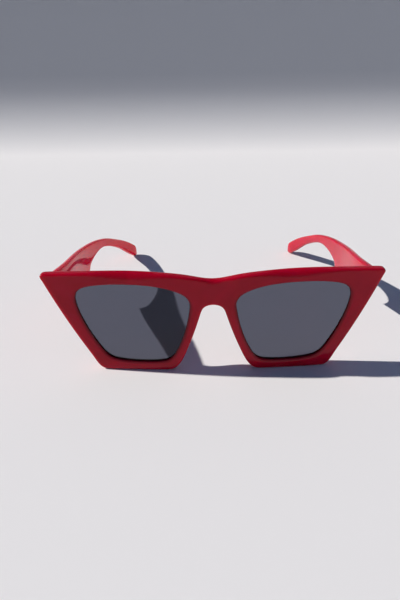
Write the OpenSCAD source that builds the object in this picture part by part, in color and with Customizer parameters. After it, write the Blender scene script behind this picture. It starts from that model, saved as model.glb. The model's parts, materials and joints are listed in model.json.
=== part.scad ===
// Cat-eye sunglasses, open and standing on the lower rims and the temple tips.
// X runs across the face, the front looks towards -Y, the temples run to +Y and Z is up.
// The origin is under the middle of the glasses, on the surface that they stand on.
// Left and right are the wearer's, so the left side is at +X.

/* [Lens openings] */
// Width of each lens opening
lens_w = 49; // [44:0.2:54]
// Height of each lens opening
lens_h = 38.8; // [34:0.2:44]
// Gap between the two lens openings over the nose
bridge_w = 20; // [17:0.2:25]

/* [Front] */
// Thickness of the front from face to back
front_t = 4.2; // [4:0.1:5.4]
// Radius that the front is curved to, seen from above
wrap_r = 600; // [400:10:1200]
// Height of the rim under the lens
rim_bottom = 4.5; // [4:0.1:6.4]
// Height of the brow bar over the top of the lens
rim_top = 5.4; // [5:0.1:8]
// Width of the rim on the outer side of the lens
rim_side = 6.6; // [5.8:0.1:9]
// Width of the rim beside the nose
rim_nose = 4.6; // [4:0.1:5.4]
// How far the pointed tip reaches out beyond the lens opening
tip_reach = 14.2; // [13:0.1:18]
// Height of the flat end of the tip, from the brow line to its underside
tip_h = 4.9; // [4.4:0.1:6.4]
// How far the brow line dips at the middle of the bridge
brow_dip = 3.8; // [2:0.1:6]
// Height of the bridge over the nose arch
bridge_h = 11.5; // [9.5:0.1:14.5]
// How far the outer side of the rim bulges from a straight line
side_bulge = 0.6; // [0:0.1:1.5]
// How far the rim bulges towards the nose
nose_bulge = 0.4; // [0:0.1:1]
// Depth that the bridge is relieved behind the face
bridge_relief = 0.6; // [0:0.1:1]
// Depth of the nose pads moulded on the back of the rims
pad_d = 2.8; // [1.8:0.1:3.8]
// Round on the outer edges
edge_r = 1; // [0.7:0.1:1.2]
// Round on the brow edge, where it is largest
brow_r = 3.1; // [1.3:0.1:3.4]
// Round on the brow edge at the middle of the bridge
bridge_r = 2.8; // [1.2:0.1:3]
// Width of the rounded slope that leads from the face down to the lens
slope_w = 2; // [1.2:0.1:2.4]
// Width of the slope on the back of the lens opening
back_slope_w = 1.3; // [0.8:0.1:1.8]

/* [Lenses] */
// Thickness of a lens
lens_t = 1.8; // [1.5:0.1:2.1]
// Depth of the lens behind the face of the front
lens_recess = 1.1; // [0.8:0.1:1.3]
// Depth of the groove that holds the edge of the lens
groove_d = 0.9; // [0.6:0.1:1.2]
// Clearance of the lens in its groove
lens_clear = 0.08; // [0.05:0.01:0.2]

/* [Temples] */
// Depth from the face of the front to the ends of the temples
reach = 141; // [130:1:155]
// Thickness of a temple
temple_t = 3.6; // [3.2:0.1:4.5]
// How far the outer face of a temple stands out beyond the lens opening
temple_set = 10.8; // [10:0.1:12.4]
// Drop of the top edge of a temple below the brow line at the hinge
temple_drop = 1.9; // [1:0.1:3]
// Height of a temple at the hinge
temple_h = 9.4; // [8.4:0.1:12]
// Distance of the lower corner of a temple behind the face
corner_y = 63.5; // [56:0.5:68]
// Height of a temple at its lower corner
corner_h = 15.5; // [13:0.1:19]
// Slope of the top edge from the hinge to the lower corner, in degrees
top_slope = 10.6; // [8:0.1:12]
// Height of a temple where the scoop behind its lower corner ends
scoop_h = 6.5; // [5.6:0.1:8]
// Distance of the ear bend behind the face
ear_y = 96; // [90:0.5:104]
// Height of the top edge at the ear bend above the floor
ear_z = 29.2; // [26:0.1:32]
// Height of the slim arm at the ear bend
arm_h = 5; // [4.4:0.1:6]
// Height of the temple at its end
end_h = 7.2; // [6.5:0.1:9]
// Slope of the end of the temple, in degrees
end_slope = 31; // [26:0.5:36]
// How far a temple bows outwards in the middle
bow = 1.8; // [0:0.1:3]
// How far the end of a temple comes in towards the head
end_in = 14.5; // [10:0.5:20]
// Round on the edges of a temple
temple_r = 1.1; // [0.7:0.1:1.4]
// Gap between the end of a temple and the back of the front
butt_gap = 0.15; // [0.1:0.05:0.3]

/* [Hinges] */
// Height of a hinge
hinge_h = 5.2; // [4.6:0.1:6]
// Radius of the hinge barrels
barrel_r = 1.5; // [1.3:0.05:1.7]
// Gap between a barrel and the plastic beside it
barrel_gap = 0.4; // [0.3:0.05:0.6]
// Gap between neighbouring barrels
barrel_space = 0.06; // [0.04:0.01:0.1]
// Depth of the hinge leaf that is sunk in the front
front_leaf_d = 2; // [1.4:0.1:2.4]
// Width of the hinge leaf that is sunk in the front
front_leaf_w = 5.4; // [4.6:0.1:6]
// Depth of the hinge leaf that is sunk in the temple
temple_leaf_d = 1.3; // [1:0.1:1.6]
// Length of the hinge leaf that is sunk in the temple
temple_leaf_l = 8.4; // [7:0.1:10]
// How far the temple leaf stands proud of the temple
leaf_proud = 0.3; // [0.25:0.05:0.5]
// Clearance of a leaf in its pocket
leaf_clear = 0.05; // [0.03:0.01:0.1]
// Radius of the hinge screw
screw_r = 0.6; // [0.5:0.05:0.7]
// Radial clearance of the turning barrels on the screw
screw_run = 0.05; // [0.03:0.01:0.08]
// Radial clearance of the fixed barrels on the screw
screw_fix = 0.02; // [0.01:0.01:0.05]
// Radius of the screw head
head_r = 1.2; // [1:0.05:1.4]
// Height of the screw head
head_h = 0.7; // [0.5:0.05:0.9]
// Width of the slot in the screw head
slot_w = 0.35; // [0.25:0.05:0.5]
// Radius of the core wire in a temple
wire_r = 0.65; // [0.5:0.05:0.8]
// Clearance of the core wire in its channel
wire_clear = 0.06; // [0.04:0.01:0.1]

/* [Hidden] */
$fn = 30;

frame_red = "#b40f20";
lens_grey = "#3a3d45";
steel = "#b8babd";

// Lens opening: its sides, and a point at a share of its width and height
lens_x = bridge_w / 2;
lens_end = lens_x + lens_w;
lens_top = rim_bottom + lens_h;
brow_z = lens_top + rim_top;
tip_x = lens_end + tip_reach;
function lens_at(u, v) = [lens_x + u * lens_w, rim_bottom + v * lens_h];

// Curves through knots of [x, z, heading, heading on leaving where it is a corner].
// Each span between two knots is an arc where the headings allow it.
function turn(a) = a - 360 * round(a / 360);
function along(a) = [cos(a), sin(a)];
function left_of(a) = [-sin(a), cos(a)];
function heading(a, b) = atan2(b.y - a.y, b.x - a.x);
function at(k) = [k.x, k.y];
function leaving(k) = len(k) > 3 ? k[3] : k.z;
function handle(a, b) = norm(at(b) - at(a)) / (3 * pow(cos(turn(b.z - leaving(a)) / 4), 2));
function span_ends(a, b) =
    let (h = handle(a, b))
    [at(a), at(a) + h * along(leaving(a)), at(b) - h * along(b.z), at(b)];
function span_at(a, b, t) =
    let (c = span_ends(a, b), s = 1 - t)
    s * s * s * c[0] + 3 * s * s * t * c[1] + 3 * s * t * t * c[2] + t * t * t * c[3];
function span_dir(a, b, t) =
    let (c = span_ends(a, b), s = 1 - t)
    heading([0, 0], s * s * (c[1] - c[0]) + 2 * s * t * (c[2] - c[1]) + t * t * (c[3] - c[2]));
function knot(p, a) = [p.x, p.y, a];
function corner(p, a, b) = [p.x, p.y, a, b];
function mix(a, b, t) = a + (b - a) * t;
function ease(t) = let (s = min(1, max(0, t))) s * s * (3 - 2 * s);
function wrap_y(x) = wrap_r - sqrt(wrap_r * wrap_r - x * x);

// Front outline on the +X side, clockwise from the middle of the brow.
// Each row pairs a knot of the outer edge with one of the lens opening, and gives the
// number of steps to the next row. Rows from the nose arch to the brow lie on the middle plane.
brow_mid = [0, brow_z - brow_dip];
arch_mid = brow_mid - [0, bridge_h];
side_top = [tip_x - 0.9, brow_z - tip_h];
side_low = lens_at(0.813, 0.158) + rim_side * left_of(-116);
nose_low = lens_at(0.153, 0.117) + rim_nose * left_of(122);
nose_top = [lens_x - rim_nose, arch_mid.y - 4.2];
// A knot at a share of the way from a to b, on an arc that bulges to the left by d at its middle
function bowed(a, b, d, t) =
    knot(mix(a, b, t) + 4 * d * t * (1 - t) * left_of(heading(a, b)),
         heading(a, b) + (1 - 2 * t) * atan(4 * d / norm(b - a)));
front_rows = [
    [knot(brow_mid, 0), knot(lens_at(0.027, 0.836), 52), 4],
    [knot([0.55 * bridge_w, brow_z - brow_dip * 0.53], 9.8), knot(lens_at(0.105, 0.904), 26), 4],
    [knot([lens_at(0.29, 0).x, brow_z - brow_dip * 0.15], 4.5), knot(lens_at(0.32, 0.979), 8.5), 4],
    [knot([lens_at(0.58, 0).x, brow_z], 0), knot(lens_at(0.58, 1), 0), 4],
    [knot([lens_end, brow_z - 0.65], -2.5), knot(lens_at(0.825, 0.981), -8.5), 4],
    [knot([tip_x - 2.6, brow_z - 1.2], -5), knot(lens_at(0.944, 0.939), -28), 4],
    [knot([tip_x, brow_z - 0.5 * tip_h], -84), knot(lens_at(0.988, 0.878), -66), 3],
    [bowed(side_top, side_low, side_bulge, 0), knot(lens_at(1, 0.798), -92), 4],
    [bowed(side_top, side_low, side_bulge, 0.36), knot(lens_at(0.981, 0.645), -104), 4],
    [bowed(side_top, side_low, side_bulge, 0.7), knot(lens_at(0.91, 0.389), -113.5), 4],
    [bowed(side_top, side_low, side_bulge, 1), knot(lens_at(0.813, 0.158), -121), 6],
    [knot([lens_at(0.805, 0).x, 0], 180), knot(lens_at(0.703, 0.039), -165), 4],
    [knot([lens_at(0.5, 0).x, 0], 180), knot(lens_at(0.475, 0.006), -178), 4],
    [knot([lens_at(0.22, 0).x, 0], 180), knot(lens_at(0.253, 0.02), 168), 5],
    [bowed(nose_low, nose_top, nose_bulge, 0), knot(lens_at(0.153, 0.117), 120), 4],
    [bowed(nose_low, nose_top, nose_bulge, 0.5), knot(lens_at(0.067, 0.357), 108), 4],
    [bowed(nose_low, nose_top, nose_bulge, 1), knot(lens_at(0.006, 0.679), 97), 4],
    [knot([nose_top.x * 0.6, arch_mid.y - 0.8], 150), knot(lens_at(0, 0.735), 92), 3],
    [knot(arch_mid, 180), knot(lens_at(0.0015, 0.765), 82), 2],
    [knot(mix(arch_mid, brow_mid, 0.4), 90), knot(lens_at(0.006, 0.79), 70), 2],
    [knot(mix(arch_mid, brow_mid, 0.75), 90), knot(lens_at(0.014, 0.812), 60), 1]];
arch_row = 18;
row_n = len(front_rows);

// Stations: [outer point, outer normal, lens point, lens normal, on the middle plane]
stations = [for (k = [0 : row_n - 1])
    let (a = front_rows[k], b = front_rows[(k + 1) % row_n], mid = k >= arch_row)
    for (i = [0 : a[2] - 1])
    let (t = i / a[2], bridge = mid && k + t > arch_row)
    [bridge ? mix(at(a[0]), at(b[0]), t) : span_at(a[0], b[0], t),
     bridge ? [0, 0] : left_of(span_dir(a[0], b[0], t)),
     span_at(a[1], b[1], t), left_of(span_dir(a[1], b[1], t)), bridge]];
station_n = len(stations);

// Depths of the lens groove behind the face
groove_front = lens_recess - lens_clear;
groove_back = lens_recess + lens_t + lens_clear;

// The brow edge has its largest round over the middle of the lens, and a smaller one at the bridge
brow_peak = lens_at(0.51, 0).x;
brow_fade = 0.41 * lens_w;
bridge_fade = 6;
brow_below = 6;
function brow_round(p) =
    let (over = ease(1 + (p.y - lens_top) / brow_below),
         at_lens = (brow_r - edge_r) * ease(1 - abs(p.x - brow_peak) / brow_fade),
         at_bridge = (bridge_r - edge_r) * (1 - ease(p.x / bridge_fade)))
    min(front_t - edge_r - 0.1, edge_r + over * (at_lens + at_bridge));
// The slope down to the lens is narrower under the brow
slope_fade_z = lens_at(0, 0.7).y;
function slope_at(p) = slope_w * mix(1, 0.5, ease((p.y - slope_fade_z) / (lens_top - slope_fade_z)));
lip_t = 0.25;
back_lip = 0.5 * groove_d;
// The nose pads swell from the back of the rims beside the nose, and fade out at both ends
pad_low = rim_bottom + 4;
pad_high = arch_mid.y - 1;
pad_fade = 9;
function pad_at(p) = pad_d * ease((p.y - pad_low) / pad_fade) * ease((pad_high - p.y) / pad_fade)
    * ease((nose_low.x + 4 - p.x) / 4);
// A point of the front: place across the face, and depth behind it
relief_half = lens_x / 2;
relief_fade = 4;
function relief_at(x) = bridge_relief * (1 - ease((abs(x) - relief_half) / relief_fade));
function front_point(p, d) =
    [p.x, wrap_y(p.x) + d + relief_at(p.x) * max(0, 1 - d / lens_recess), p.y];
// Quarter round as [inset, depth] pairs from the face to the edge wall
function round_off(r) = [for (a = [0, 30, 60, 90]) r * [1 - sin(a), 1 - cos(a)]];

// Cross-section of the rim at a station, from the lens groove round the face, edge and back
function rim_section(s) =
    let (q = s[0], nq = s[1], p = s[2], np = s[3], ro = brow_round(q), slope = slope_at(p),
         slope_d = groove_front - lip_t, back_d = front_t - groove_back - lip_t, back_p = p + np * back_lip,
         face_in = p + np * slope, face_out = q - nq * (s[4] ? 0 : ro),
         back_in = back_p + np * back_slope_w, back_out = q - nq * (s[4] ? 0 : edge_r), pad = pad_at(q))
    concat(
        [front_point(back_p, groove_back), front_point(p + np * groove_d, groove_back),
         front_point(p + np * groove_d, groove_front), front_point(p, groove_front)],
        [for (a = [90, 60, 30, 0]) front_point(p + np * slope * (1 - sin(a)), slope_d * (1 - cos(a)))],
        [for (t = [0.3, 0.65]) front_point(mix(face_in, face_out, t), 0)],
        [for (e = round_off(ro)) front_point(q - nq * e[0], e[1])],
        [for (k = [3 : -1 : 0]) let (e = round_off(edge_r)[k])
         front_point(q - nq * e[0], front_t + pad - e[1])],
        [for (t = [0.65, 0.3]) front_point(mix(back_in, back_out, t), front_t + pad * ease(t * 1.3))],
        [for (a = [0, 45, 90])
         front_point(back_p + np * back_slope_w * (1 - sin(a)), front_t - back_d * (1 - cos(a)))]);
section_n = len(rim_section(stations[0]));
edge_first = 10;
edge_last = 16;

// Skin of the front: both halves share the points on the middle plane
half = [for (s = stations) each rim_section(s)];
half_n = len(half);
function skin_index(side, i, j) =
    let (n = (i % station_n) * section_n + j % section_n)
    side == 0 || abs(half[n].x) < 1e-6 ? n : half_n + n;
function open_edge(i, j) =
    (stations[i][4] || stations[(i + 1) % station_n][4]) && j >= edge_first && j <= edge_last;
skin_faces = [for (side = [0, 1], i = [0 : station_n - 1], j = [0 : section_n - 1])
    if (!open_edge(i, j))
    let (a = skin_index(side, i, j), b = skin_index(side, i + 1, j),
         c = skin_index(side, i + 1, j + 1), d = skin_index(side, i, j + 1))
    each side == 0 ? [[a, c, b], [a, d, c]] : [[a, b, c], [a, c, d]]];

// Temple in side view: pairs of knots of [y, z, heading] on the top edge and the lower edge,
// and the number of steps to the next pair
temple_x = lens_end + temple_set;
temple_y = wrap_y(temple_x) + front_t + butt_gap;
temple_z = brow_z - temple_drop;
function top_line(y) = [y, temple_z - (y - temple_y) * tan(top_slope)];
hinge_low = top_line(temple_y) - [0, temple_h];
corner_low = top_line(corner_y) - [0, corner_h];
low_dir = heading(hinge_low, corner_low);
scoop_start = corner_low + [4.3, 3.4];
scoop_y = corner_y + 19;
scoop_low = top_line(scoop_y) - [0, scoop_h + 0.5];
scoop_top = top_line(scoop_y + 2) - [0, 0.3];
ear_top = [ear_y, ear_z];
ear_dir = -16;
ear_low = ear_top - arm_h * left_of(ear_dir);
end_round = 3;
end_top = [reach - end_round, end_h + 1.5];
end_dir = -end_slope;
end_low = end_top - end_h * left_of(end_dir);
end_back = [reach - 0.1, 0.36 * end_h];
end_foot = [reach - 0.56 * end_round, 0];
bend_dir = (ear_dir + end_dir) / 2;
bend_top = span_at(knot(ear_top, ear_dir), knot(end_top, end_dir), 0.5);
bend_low = bend_top - mix(arm_h, end_h, 0.2) * left_of(bend_dir);
temple_rows = [
    [knot(top_line(temple_y), -top_slope), knot(hinge_low, low_dir), 6],
    [knot(top_line(corner_y - 3), -top_slope), corner(corner_low, low_dir, 56), 4],
    [knot(top_line(corner_y + 8), -top_slope), knot(scoop_start, 14), 5],
    [knot(scoop_top, -top_slope - 2.4), knot(scoop_low, 0), 5],
    [knot(ear_top, ear_dir), knot(ear_low, ear_dir), 5],
    [knot(bend_top, bend_dir), knot(bend_low, bend_dir - 4), 5],
    [knot(end_top, end_dir - 4), knot(end_low, end_dir), 6],
    [knot(end_back, -95), knot(end_foot, 0), 0]];
end_row = len(temple_rows) - 1;

// Hinge leaf in the temple starts this far behind the end of the plastic
leaf_start = 0.9;

// Temple in plan: the middle of its thickness, and its outward normal
bow_y = corner_y - 9;
straight_y = temple_y + temple_leaf_l + 3;
function plan_x(y) = temple_x - temple_t / 2 + bow * ease((y - straight_y) / (bow_y - straight_y))
    - end_in * pow(max(0, (y - bow_y) / (reach - bow_y)), 2);
function plan_normal(y) = let (g = (plan_x(y + 0.01) - plan_x(y - 0.01)) / 0.02) [1, -g] / norm([1, g]);
function temple_point(p, out) =
    let (n = plan_normal(p.x))
    [plan_x(p.x) + out * n.x, p.x + out * n.y, p.y];

// Stations along a temple: [top point, low point, share of the thickness]
end_slim = 0.72;
function temple_station(k, t) =
    let (a = temple_rows[k], b = temple_rows[min(k + 1, end_row)])
    [k == end_row ? at(a[0]) : span_at(a[0], b[0], t), k == end_row ? at(a[1]) : span_at(a[1], b[1], t),
     k < end_row - 1 ? 1 : mix(1, end_slim, k == end_row ? 1 : ease(t))];
temple_stations = concat(
    [for (k = [0 : end_row - 1], i = [0 : temple_rows[k][2] - 1]) temple_station(k, i / temple_rows[k][2])],
    [temple_station(end_row, 0)]);

// Rounded cross-section of a temple between its low and top points, as [along, outward] pairs
function temple_section(h, t) =
    let (r = min(temple_r, 0.45 * h, 0.45 * t), w = t / 2)
    concat(
        [for (a = [0, 45, 90]) [r - r * cos(a), w - r + r * sin(a)]], [[h / 2, w]],
        [for (a = [90, 45, 0]) [h - r + r * cos(a), w - r + r * sin(a)]],
        [for (a = [0, 45, 90]) [h - r + r * cos(a), r - w - r * sin(a)]], [[h / 2, -w]],
        [for (a = [90, 45, 0]) [r - r * cos(a), r - w - r * sin(a)]]);
function temple_ring(s) =
    let (h = norm(s[0] - s[1]), up = (s[0] - s[1]) / h)
    [for (e = temple_section(h, temple_t * s[2])) temple_point(s[1] + up * e[0], e[1])];
// The hinge end follows the curved back of the front
function butt(p) = [p.x, wrap_y(p.x) + front_t + butt_gap, p.z];

// Skin of a tube of rings, closed at both ends
function tube_faces(n, m) = concat(
    [for (i = [0 : n - 2], j = [0 : m - 1])
     let (a = i * m + j, b = i * m + (j + 1) % m, c = a + m, d = b + m)
     each [[a, b, d], [a, d, c]]],
    [for (j = [1 : m - 2]) each [[0, j + 1, j], [(n - 1) * m, (n - 1) * m + j, (n - 1) * m + j + 1]]]);
module tube(rings) {
    polyhedron([for (r = rings) each r], tube_faces(len(rings), len(rings[0])));
}

// Core wire: runs from behind the hinge leaf to the end of the temple, inside its thickness
wire_start = (leaf_start + temple_leaf_l + 0.5) / (corner_y - 3 - temple_y);
wire_stations = concat(
    [for (t = [wire_start : (1 - wire_start) / 3 : 0.999]) temple_station(0, t)],
    [for (k = [1 : end_row - 2], t = [0 : 0.25 : 0.8]) temple_station(k, t)],
    [temple_station(end_row - 1, 0), temple_station(end_row - 1, 0.3)]);
function wire_ring(s, r) =
    let (h = norm(s[0] - s[1]), up = (s[0] - s[1]) / h,
         drop = mix(temple_h, arm_h, ease((s[0].x - temple_y) / (scoop_y - temple_y))) / 2)
    [for (a = [0 : 45 : 315]) temple_point(s[0] - up * (drop + r * cos(a)), r * sin(a))];
module wire(r) {
    tube([for (s = wire_stations) wire_ring(s, r)]);
}

// Hinge: the pin stands inside the temple and behind the front
temple_in = temple_x - temple_t;
pin_x = temple_in - barrel_gap - barrel_r;
pin_y = wrap_y(pin_x) + front_t + barrel_gap + barrel_r;
pin_z = temple_z - temple_h / 2;
barrel_n = 5;
barrel_h = (hinge_h - (barrel_n - 1) * barrel_space) / barrel_n;
function barrel_z(k) = pin_z - hinge_h / 2 + k * (barrel_h + barrel_space);
front_leaf_in = 0.6 * front_leaf_w;
wrap_angle = asin(pin_x / wrap_r);
leaf_tilt = (low_dir - top_slope) / 2;
web_t = 1.5 * barrel_r;

// Stands the whole pair over the origin
module placed() {
    translate([0, -reach / 2, 0]) children();
}
module on_left() {
    placed() children();
}
module on_right() {
    placed() mirror([1, 0, 0]) children();
}

module at_front_leaf() {
    translate([pin_x, wrap_y(pin_x) + front_t, pin_z]) rotate([0, 0, wrap_angle]) children();
}
module front_leaf_block(gap, back) {
    at_front_leaf() translate([-front_leaf_in - gap, -front_leaf_d - gap, -hinge_h / 2 - gap])
        cube([front_leaf_w + 2 * gap, front_leaf_d + gap + back, hinge_h + 2 * gap]);
}
module temple_leaf_block(gap, proud) {
    translate([temple_in - proud, temple_y + leaf_start, pin_z]) rotate([leaf_tilt, 0, 0])
        translate([0, -gap, -hinge_h / 2 - gap])
        cube([proud + temple_leaf_d - leaf_proud + gap, temple_leaf_l + 2 * gap, hinge_h + 2 * gap]);
}
// Barrels of one leaf, with the web that ties each of them to it, bored for the screw
module barrels(levels, bore_r) {
    for (k = levels)
        translate([pin_x, pin_y, barrel_z(k)]) difference() {
            union() {
                cylinder(h = barrel_h, r = barrel_r);
                linear_extrude(barrel_h) children();
            }
            translate([0, 0, -1]) cylinder(h = barrel_h + 2, r = bore_r);
        }
}

module front_frame() {
    color(frame_red) placed() difference() {
        polyhedron(concat(half, [for (p = half) [-p.x, p.y, p.z]]), skin_faces);
        front_leaf_block(leaf_clear, 1);
        mirror([1, 0, 0]) front_leaf_block(leaf_clear, 1);
    }
}
// A lens is cut from a curved sheet, a little larger than its opening
module lens() {
    outline = [for (s = stations) s[2] + s[3] * (groove_d - lens_clear)];
    sheet_y = wrap_y(lens_end + groove_d) + lens_recess + lens_t + 1;
    color(lens_grey, 0.9) difference() {
        intersection() {
            translate([0, sheet_y, 0]) rotate([90, 0, 0]) linear_extrude(sheet_y) polygon(outline);
            sheet_face(lens_recess);
        }
        sheet_face(lens_recess + lens_t);
    }
}
module sheet_face(depth) {
    translate([0, wrap_r + depth, -1]) cylinder(h = brow_z + 2, r = wrap_r, $fn = 1440);
}
module temple() {
    rings = [for (s = temple_stations) temple_ring(s)];
    color(frame_red) difference() {
        tube(concat([[for (p = rings[0]) butt(p)]], [for (i = [1 : len(rings) - 1]) rings[i]]));
        temple_leaf_block(leaf_clear, 1);
        wire(wire_r + wire_clear);
    }
}
module core_wire() {
    color(steel) wire(wire_r);
}
module front_hinge() {
    color(steel) union() {
        front_leaf_block(0, 0);
        barrels([0, 2, 4], screw_r + screw_fix)
            translate([-web_t / 2, -barrel_gap - barrel_r - 0.3]) square([web_t, barrel_gap + barrel_r]);
    }
}
module temple_hinge() {
    color(steel) union() {
        temple_leaf_block(0, leaf_proud);
        barrels([1, 3], screw_r + screw_run)
            translate([0, -web_t / 2]) square([barrel_r + barrel_gap - leaf_clear, web_t]);
    }
}
module hinge_screw() {
    color(steel) translate([pin_x, pin_y, pin_z - hinge_h / 2]) difference() {
        union() {
            cylinder(h = hinge_h + head_h, r = screw_r);
            translate([0, 0, hinge_h]) cylinder(h = head_h, r = head_r);
        }
        translate([-head_r, -slot_w / 2, hinge_h + head_h / 2]) cube([2 * head_r, slot_w, head_h]);
    }
}

front_frame();
on_left() lens();  // lens_left
on_right() lens();  // lens_right
on_left() temple();  // temple_left
on_right() temple();  // temple_right
on_left() front_hinge();  // front_hinge_left
on_right() front_hinge();  // front_hinge_right
on_left() temple_hinge();  // temple_hinge_left
on_right() temple_hinge();  // temple_hinge_right
on_left() hinge_screw();  // hinge_screw_left
on_right() hinge_screw();  // hinge_screw_right
on_left() core_wire();  // core_wire_left
on_right() core_wire();  // core_wire_right
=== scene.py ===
import json
import math
import bpy
from mathutils import Matrix, Vector

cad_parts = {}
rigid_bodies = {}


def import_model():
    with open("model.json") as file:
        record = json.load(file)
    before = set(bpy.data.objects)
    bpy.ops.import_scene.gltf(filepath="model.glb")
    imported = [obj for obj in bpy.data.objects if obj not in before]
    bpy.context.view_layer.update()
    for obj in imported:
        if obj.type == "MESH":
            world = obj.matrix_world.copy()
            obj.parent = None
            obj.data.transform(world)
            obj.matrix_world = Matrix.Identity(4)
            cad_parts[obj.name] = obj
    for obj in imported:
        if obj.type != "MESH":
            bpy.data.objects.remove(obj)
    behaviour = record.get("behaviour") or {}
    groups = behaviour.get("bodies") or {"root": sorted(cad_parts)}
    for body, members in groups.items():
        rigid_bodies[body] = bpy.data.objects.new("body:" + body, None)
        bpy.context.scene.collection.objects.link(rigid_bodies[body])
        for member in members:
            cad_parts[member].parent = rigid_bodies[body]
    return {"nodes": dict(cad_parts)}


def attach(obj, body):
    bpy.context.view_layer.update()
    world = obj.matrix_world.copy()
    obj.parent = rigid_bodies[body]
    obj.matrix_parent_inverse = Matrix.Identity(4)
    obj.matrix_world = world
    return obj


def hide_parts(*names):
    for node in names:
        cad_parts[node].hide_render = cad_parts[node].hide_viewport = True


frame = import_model()
nodes = frame["nodes"]
scene = bpy.context.scene
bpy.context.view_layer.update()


# camera, where the photograph was taken from
shot = {
    "imageHigh": 600,                    # pixels
    "focal": 467,                        # pixels
    "sensor": 36.0,                      # mm along the image's height
    "place": (0.0, -0.2444, 0.1288),
    "pitchDown": 28.0,                   # degrees
    "roll": -1.0,                        # degrees, turns the picture anticlockwise
    "noseRight": 13,                     # pixels from the middle of the image to the nose
    "nearest": 0.01,                     # metres, closer things are cut off
}


def addCamera():
    lens = bpy.data.cameras.new("camera")
    lens.sensor_width = shot["sensor"]
    lens.lens = shot["sensor"] * shot["focal"] / shot["imageHigh"]
    lens.shift_x = -shot["noseRight"] / shot["imageHigh"]
    lens.clip_start = shot["nearest"]
    camera = bpy.data.objects.new("camera", lens)
    scene.collection.objects.link(camera)
    tilt = Matrix.Rotation(math.radians(90 - shot["pitchDown"]), 4, "X")
    turn = Matrix.Rotation(math.radians(shot["roll"]), 4, "Z")
    camera.matrix_world = Matrix.Translation(shot["place"]) @ tilt @ turn
    scene.camera = camera


addCamera()
print("camera set")


# small helpers for objects
def workOn(piece):
    if bpy.context.mode != "OBJECT":
        bpy.ops.object.mode_set(mode="OBJECT")
    bpy.ops.object.select_all(action="DESELECT")
    piece.select_set(True)
    bpy.context.view_layer.objects.active = piece


def editAll(piece, pick="VERT"):
    workOn(piece)
    bpy.ops.object.mode_set(mode="EDIT")
    bpy.ops.mesh.select_mode(type=pick)
    bpy.ops.mesh.select_all(action="SELECT")


def backToObject():
    bpy.ops.object.mode_set(mode="OBJECT")


# smooths the shading of the active piece, except across edges that bend by more than the angle
def shadeSmooth(angle):
    bpy.ops.object.shade_smooth_by_angle(angle=math.radians(angle))


# how loose triangles are joined to skins, in metres and degrees
joining = {"gap": 2e-6, "quadBend": 40, "quadShape": 60, "flatBend": 1}


# copy of a frame node as one merged skin, so that it can be smoothed
def mergedCopy(nodeName, pieceName):
    piece = bpy.data.objects.new(pieceName, nodes[nodeName].data.copy())
    scene.collection.objects.link(piece)
    workOn(piece)
    bpy.ops.mesh.customdata_custom_splitnormals_clear()
    editAll(piece)
    bpy.ops.mesh.remove_doubles(threshold=joining["gap"])
    backToObject()
    return piece


# deletes closed hollows inside a piece, which would show through as dark lines
def keepOuterSkin(piece):
    editAll(piece)
    bpy.ops.mesh.select_all(action="DESELECT")
    backToObject()
    lowest = min(piece.data.vertices, key=lambda vertex: vertex.co.z)
    lowest.select = True
    bpy.ops.object.mode_set(mode="EDIT")
    bpy.ops.mesh.select_linked()
    bpy.ops.mesh.select_all(action="INVERT")
    bpy.ops.mesh.delete(type="VERT")
    backToObject()


# rounds a faceted skin and keeps its hard edges
def roundSkin(piece, look):
    editAll(piece, "EDGE")
    bpy.ops.mesh.tris_convert_to_quads(face_threshold=math.radians(joining["quadBend"]),
                                       shape_threshold=math.radians(joining["quadShape"]))
    bpy.ops.mesh.select_all(action="DESELECT")
    bpy.ops.mesh.edges_select_sharp(sharpness=math.radians(look["hardAngle"]))
    bpy.ops.transform.edge_crease(value=1.0)
    backToObject()
    bpy.ops.object.modifier_add(type="SUBSURF")
    smoother = piece.modifiers[-1]
    smoother.levels = look["levels"]
    smoother.render_levels = look["levels"]
    bpy.ops.object.modifier_apply(modifier=smoother.name)
    shadeSmooth(look["shadeAngle"])


# breaks the edges of a machined piece
def breakEdges(piece, width, look):
    editAll(piece)
    bpy.ops.mesh.dissolve_limited(angle_limit=math.radians(joining["flatBend"]))
    backToObject()
    bpy.ops.object.modifier_add(type="BEVEL")
    bevel = piece.modifiers[-1]
    bevel.width = width
    bevel.segments = look["breakSteps"]
    bevel.limit_method = "ANGLE"
    bevel.angle_limit = math.radians(look["edgeAngle"])
    bpy.ops.object.modifier_apply(modifier=bevel.name)
    shadeSmooth(look["shadeAngle"])


def dress(piece, material, body, nodeName):
    piece.data.materials.clear()
    piece.data.materials.append(material)
    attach(piece, body)
    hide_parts(nodeName)


# small helpers for materials
def newMaterial(name):
    material = bpy.data.materials.new(name)
    material.use_nodes = True
    return material, material.node_tree, material.node_tree.nodes["Principled BSDF"]


def addNode(tree, kind, values=None, **options):
    node = tree.nodes.new(kind)
    for name, value in options.items():
        setattr(node, name, value)
    for name, value in (values or {}).items():
        node.inputs[name].default_value = value
    return node


def objectPlace(tree, stretch=(1, 1, 1), turn=(0, 0, 0)):
    coords = addNode(tree, "ShaderNodeTexCoord")
    mapping = addNode(tree, "ShaderNodeMapping", {"Scale": stretch, "Rotation": turn})
    tree.links.new(coords.outputs["Object"], mapping.inputs["Vector"])
    return mapping.outputs["Vector"]


def noise(tree, place, grain):
    node = addNode(tree, "ShaderNodeTexNoise", {
        "Scale": grain["scale"], "Detail": grain["detail"],
        "Roughness": grain["rough"], "Distortion": grain.get("twist", 0.0)})
    tree.links.new(place, node.inputs["Vector"])
    return node.outputs["Fac"]


# stretches the part of a pattern between two levels over a new range
def spread(tree, source, levels, result=(0, 1)):
    node = addNode(tree, "ShaderNodeMapRange", {
        "From Min": levels[0], "From Max": levels[1], "To Min": result[0], "To Max": result[1]})
    tree.links.new(source, node.inputs["Value"])
    return node.outputs["Result"]


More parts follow.
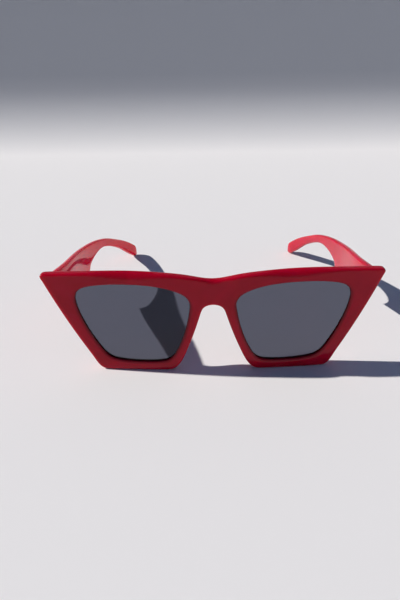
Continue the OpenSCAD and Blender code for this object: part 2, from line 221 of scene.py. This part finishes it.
def mixColours(tree, factor, first, second):
    node = addNode(tree, "ShaderNodeMix", data_type="RGBA")
    node.inputs["A"].default_value = (*first, 1)
    node.inputs["B"].default_value = (*second, 1)
    tree.links.new(factor, node.inputs["Factor"])
    return node.outputs["Result"]


def addBump(tree, height, strength, depth, below=None):
    node = addNode(tree, "ShaderNodeBump", {"Strength": strength, "Distance": depth})
    tree.links.new(height, node.inputs["Height"])
    if below:
        tree.links.new(below, node.inputs["Normal"])
    return node.outputs["Normal"]


# paints shade into a colour by the piece's own seam attribute: darker in the recess round each lens, where
# shade falls
def paintSeamShade(tree, colour, dark):
    seam = addNode(tree, "ShaderNodeAttribute", attribute_name="seam")
    node = addNode(tree, "ShaderNodeMix", data_type="RGBA")
    node.inputs["B"].default_value = (*dark, 1)
    tree.links.new(colour, node.inputs["A"])
    tree.links.new(seam.outputs["Fac"], node.inputs["Factor"])
    return node.outputs["Result"]


# polished red plastic of the front and the temples; the temples' reds are lighter than the front's as
# painted light, for the light that shines through the thin temples, though the plastic is the same
redFinish = {
    "front": {"deepRed": (0.365, 0.0012, 0.016), "clearRed": (0.425, 0.002, 0.021),
              # the last colour here is painted shade for the recess round each lens
              "glow": 0.5, "depth": 0.006, "paintedSeamShade": (0.03, 0.0006, 0.003)},
    # lighter reds: painted light for the glow through the thin temples
    "temple": {"deepRed": (0.40, 0.0010, 0.023), "clearRed": (0.46, 0.0016, 0.029),
               "glow": 1.0, "depth": 0.016},
    "colourReach": (1.0, 0.06, 0.05),    # how far red, green and blue travel, as shares of the depth
    "ior": 1.27,
    # streaks from the moulding, smudges, fine waves of the skin and marks from wiping, by size per metre
    "flow": {"scale": 42.0, "detail": 3, "rough": 0.55, "twist": 1.2, "levels": (0.35, 0.65)},
    "smudge": {"scale": 150.0, "detail": 5, "rough": 0.6, "levels": (0.4, 0.7)},
    "polish": (0.025, 0.07),             # roughness from clean to smudged
    "peel": {"scale": 900.0, "detail": 2, "rough": 0.5, "strength": 0.03},
    "wipeMarks": {"scale": 1.0, "detail": 2, "rough": 0.5, "levels": (0.62, 0.7), "strength": 0.04},
    "wipeStretch": (35.0, 35.0, 1500.0),  # marks are much longer than wide
    "wipeTurn": (0.5, 0.3, 0.0),
    "bumpDepth": 0.0001,
}


# glow is the share of light that spreads inside the plastic, and depth how far its red travels, in metres
def redPlastic(kind):
    finish = redFinish[kind]
    material, tree, shader = newMaterial(kind + "Red")
    place = objectPlace(tree)
    flow = redFinish["flow"]
    shade = spread(tree, noise(tree, place, flow), flow["levels"])
    red = mixColours(tree, shade, finish["deepRed"], finish["clearRed"])
    # painted shade in the recess round each lens, on the front only
    if "paintedSeamShade" in finish:
        red = paintSeamShade(tree, red, finish["paintedSeamShade"])
    tree.links.new(red, shader.inputs["Base Color"])
    smudge = redFinish["smudge"]
    polish = spread(tree, noise(tree, place, smudge), smudge["levels"], redFinish["polish"])
    tree.links.new(polish, shader.inputs["Roughness"])
    wipe = redFinish["wipeMarks"]
    wipePlace = objectPlace(tree, redFinish["wipeStretch"], redFinish["wipeTurn"])
    marks = spread(tree, noise(tree, wipePlace, wipe), wipe["levels"])
    peel = redFinish["peel"]
    skin = addBump(tree, noise(tree, place, peel), peel["strength"], redFinish["bumpDepth"])
    wiped = addBump(tree, marks, wipe["strength"], redFinish["bumpDepth"], skin)
    tree.links.new(wiped, shader.inputs["Normal"])
    shader.inputs["IOR"].default_value = redFinish["ior"]
    shader.inputs["Subsurface Weight"].default_value = finish["glow"]
    shader.inputs["Subsurface Radius"].default_value = redFinish["colourReach"]
    shader.inputs["Subsurface Scale"].default_value = finish["depth"]
    return material


# smoke-tinted lens
lensFinish = {
    "tint": (0.102, 0.111, 0.152),       # light left behind the lens
    "ior": 1.33,
    "clean": (0.0, 0.012),               # roughness from clean to finger-marked
    "marks": {"scale": 70.0, "detail": 4, "rough": 0.55, "twist": 0.6, "levels": (0.5, 0.75)},
}


def smokeLens():
    material, tree, shader = newMaterial("smokeLens")
    marks = lensFinish["marks"]
    clean = spread(tree, noise(tree, objectPlace(tree), marks), marks["levels"], lensFinish["clean"])
    tree.links.new(clean, shader.inputs["Roughness"])
    shader.inputs["Base Color"].default_value = (*lensFinish["tint"], 1)
    shader.inputs["Transmission Weight"].default_value = 1.0
    shader.inputs["IOR"].default_value = lensFinish["ior"]
    return material


# plated steel with drawn lines
steelFinish = {
    "hinge": {"dark": (0.50, 0.50, 0.50), "light": (0.66, 0.65, 0.64), "rough": (0.2, 0.34)},
    "screw": {"dark": (0.42, 0.42, 0.43), "light": (0.60, 0.60, 0.61), "rough": (0.16, 0.3)},
    "core": {"dark": (0.46, 0.46, 0.47), "light": (0.58, 0.58, 0.59), "rough": (0.3, 0.45)},
    "lines": {"scale": 1.0, "detail": 3, "rough": 0.6, "levels": (0.3, 0.7), "strength": 0.08},
    "lineStretch": (900.0, 900.0, 9000.0),
    "lineDepth": 0.00005,
}


def steel(kind):
    finish = steelFinish[kind]
    material, tree, shader = newMaterial(kind + "Steel")
    drawn = steelFinish["lines"]
    lines = noise(tree, objectPlace(tree, steelFinish["lineStretch"]), drawn)
    shade = spread(tree, lines, drawn["levels"])
    tree.links.new(mixColours(tree, shade, finish["dark"], finish["light"]), shader.inputs["Base Color"])
    tree.links.new(spread(tree, lines, drawn["levels"], finish["rough"]), shader.inputs["Roughness"])
    grooves = addBump(tree, lines, drawn["strength"], steelFinish["lineDepth"])
    tree.links.new(grooves, shader.inputs["Normal"])
    shader.inputs["Metallic"].default_value = 1.0
    return material


frontRed = redPlastic("front")
templeRed = redPlastic("temple")
smoke = smokeLens()
hingeSteel = steel("hinge")
screwSteel = steel("screw")
coreSteel = steel("core")
print("materials made")


# front: one moulded skin with the rims, the brow and the nose pads
frontLook = {
    "hardAngle": 60, "levels": 1, "shadeAngle": 40,
    "seam": (0.0003, 0.0012),            # distance from a lens where its painted shade starts to fade, and ends
}


# marks how far each point lies in the painted shade of the recess between a rim and its lens
def markPaintedSeamShade(front):
    near, far = frontLook["seam"]
    lenses = [nodes["lens_left"], nodes["lens_right"]]
    seam = front.data.attributes.new("seam", "FLOAT", "POINT")
    for vertex in front.data.vertices:
        spots = [lens.closest_point_on_mesh(vertex.co)[1] for lens in lenses]
        gap = min((spot - vertex.co).length for spot in spots)
        seam.data[vertex.index].value = min(1, max(0, (far - gap) / (far - near)))


def makeFront():
    front = mergedCopy("front_frame", "frontShell")
    roundSkin(front, frontLook)
    markPaintedSeamShade(front)
    dress(front, frontRed, "front", "front_frame")
    print("front:", len(front.data.polygons), "faces")


# temples
templeLook = {"hardAngle": 60, "levels": 2, "shadeAngle": 40}


def makeTemple(side):
    temple = mergedCopy("temple_" + side, side + "Temple")
    keepOuterSkin(temple)
    roundSkin(temple, templeLook)
    dress(temple, templeRed, side + "_temple", "temple_" + side)
    print(side, "temple:", len(temple.data.polygons), "faces")


# lenses
lensLook = {"shadeAngle": 30}


def makeLens(side):
    lens = mergedCopy("lens_" + side, side + "Lens")
    shadeSmooth(lensLook["shadeAngle"])
    dress(lens, smoke, "front", "lens_" + side)
    print(side, "lens:", len(lens.data.polygons), "faces")


# hinges, screws and core wires
metalLook = {
    "hingeBreak": 0.00008,               # width of the broken edges
    "screwBreak": 0.00005,
    "breakSteps": 2,
    "edgeAngle": 50,
    "shadeAngle": 35,
    "wireShadeAngle": 50,
}


def makeMetal(side):
    pieces = [
        ("front_hinge_", "FrontHinge", hingeSteel, "front", "hinge_steel", metalLook["hingeBreak"]),
        ("temple_hinge_", "TempleHinge", hingeSteel, side + "_temple", "hinge_steel",
         metalLook["hingeBreak"]),
        ("hinge_screw_", "HingeScrew", screwSteel, "front", "screw_steel", metalLook["screwBreak"]),
    ]
    for node, name, material, body, slotName, width in pieces:
        piece = mergedCopy(node + side, side + name)
        breakEdges(piece, width, metalLook)
        dress(piece, material, body, node + side)
    wire = mergedCopy("core_wire_" + side, side + "CoreWire")
    shadeSmooth(metalLook["wireShadeAngle"])
    dress(wire, coreSteel, side + "_temple", "core_wire_" + side)
    print(side, "hinge, screw and core wire made")


makeFront()
for side in ("left", "right"):
    makeTemple(side)
    makeLens(side)
    makeMetal(side)


# pale floor that sweeps up behind the glasses
stageLook = {
    "halfWide": 5.0,                     # metres, as the other lengths here
    "frontEdge": -4.0,
    "backEdge": 0.45,
    "sweepRadius": 0.1,
    "sweepSteps": 16,
    "sweepTurn": 80.0,                   # degrees, so that the wall leans away from the key's shadow
    "wallHigh": 0.9,
    "sidesHigh": 2.2,
    "slack": 1e-4,                       # for finding the edges of the floor
    "shadeAngle": 40,
    "rough": 0.8,
    "sheen": 0.1,
    "floorColour": (0.88, 0.86, 0.86),
    # the walls' grey is painted shade, darker than the floor
    "wallShadeColour": (0.50, 0.515, 0.55),
}


def cardMaterial(name):
    material, tree, shader = newMaterial(name)
    shader.inputs["Roughness"].default_value = stageLook["rough"]
    shader.inputs["Specular IOR Level"].default_value = stageLook["sheen"]
    return material, tree, shader


# painted shade: the card darkens as it turns up behind the glasses, standing in for the shade on the wall
def paleCard():
    material, tree, shader = cardMaterial("paleCard")
    height = addNode(tree, "ShaderNodeSeparateXYZ")
    tree.links.new(objectPlace(tree), height.inputs["Vector"])
    rising = spread(tree, height.outputs["Z"], (0, stageLook["sweepRadius"]))
    tree.links.new(mixColours(tree, rising, stageLook["floorColour"], stageLook["wallShadeColour"]),
                   shader.inputs["Base Color"])
    return material


# the side walls take the same painted shade grey
def sideCard():
    material, _, shader = cardMaterial("sideCard")
    shader.inputs["Base Color"].default_value = (*stageLook["wallShadeColour"], 1)
    return material


# goes into edit mode with the edges picked whose two ends both pass the test
def pickEdges(card, test):
    passed = [test(vertex.co) for vertex in card.data.vertices]
    for face in card.data.polygons:
        face.select = False
    for vertex in card.data.vertices:
        vertex.select = passed[vertex.index]
    for edge in card.data.edges:
        edge.select = passed[edge.vertices[0]] and passed[edge.vertices[1]]
    bpy.ops.object.mode_set(mode="EDIT")
    bpy.ops.mesh.select_mode(type="EDGE")


def pushOut(move):
    bpy.ops.mesh.extrude_region_move(TRANSFORM_OT_translate={"value": move})


def makeStage():
    deep = stageLook["backEdge"] - stageLook["frontEdge"]
    bpy.ops.object.select_all(action="DESELECT")
    bpy.ops.mesh.primitive_plane_add(size=1)
    card = bpy.context.active_object
    card.name = "sweep"
    card.scale = (2 * stageLook["halfWide"], deep, 1)
    card.location = (0, stageLook["backEdge"] - deep / 2, 0)
    bpy.ops.object.transform_apply(location=True, rotation=True, scale=True)
    radius = stageLook["sweepRadius"]
    turn = math.radians(stageLook["sweepTurn"])
    step = turn / stageLook["sweepSteps"]
    slack = stageLook["slack"]
    pickEdges(card, lambda place: place.y > stageLook["backEdge"] - slack)
    for i in range(stageLook["sweepSteps"]):
        low, high = i * step, (i + 1) * step
        pushOut((0, radius * (math.sin(high) - math.sin(low)), radius * (math.cos(low) - math.cos(high))))
    pushOut((0, stageLook["wallHigh"] * math.cos(turn), stageLook["wallHigh"] * math.sin(turn)))
    backToObject()
    for test in (lambda place: place.x < slack - stageLook["halfWide"],
                 lambda place: place.x > stageLook["halfWide"] - slack,
                 lambda place: place.y < stageLook["frontEdge"] + slack and place.z < slack):
        pickEdges(card, test)
        pushOut((0, 0, stageLook["sidesHigh"]))
        backToObject()
    shadeSmooth(stageLook["shadeAngle"])
    card.data.materials.append(paleCard())
    card.data.materials.append(sideCard())
    for face in card.data.polygons:
        aside = abs(face.center.x) > stageLook["halfWide"] - slack
        face.material_index = 1 if aside or face.center.y < stageLook["frontEdge"] + slack else 0


makeStage()
print("stage made")


# soft studio light: a key from the left and a little behind, and an even room
studio = {
    "keyTravel": (1.35, -0.165, -1.0),   # the way that the key light goes
    "keyStrength": 4.19,
    "keyColour": (1.0, 0.966, 0.913),
    "keyAngle": 1.0,                     # degrees across, which softens the shadow's edge
    "roomStrength": 0.136,
    "roomColour": (0.1375, 0.4125, 1.0),
}


def addKey():
    lamp = bpy.data.lights.new("key", "SUN")
    lamp.energy = studio["keyStrength"]
    lamp.color = studio["keyColour"]
    lamp.angle = math.radians(studio["keyAngle"])
    key = bpy.data.objects.new("key", lamp)
    scene.collection.objects.link(key)
    key.rotation_euler = Vector(studio["keyTravel"]).to_track_quat("-Z", "Y").to_euler()


def addRoom():
    room = bpy.data.worlds.new("room")
    scene.world = room
    room.use_nodes = True
    light = room.node_tree.nodes["Background"]
    light.inputs["Color"].default_value = (*studio["roomColour"], 1)
    light.inputs["Strength"].default_value = studio["roomStrength"]


addKey()
addRoom()
scene.view_settings.view_transform = "Standard"
print("lights set")
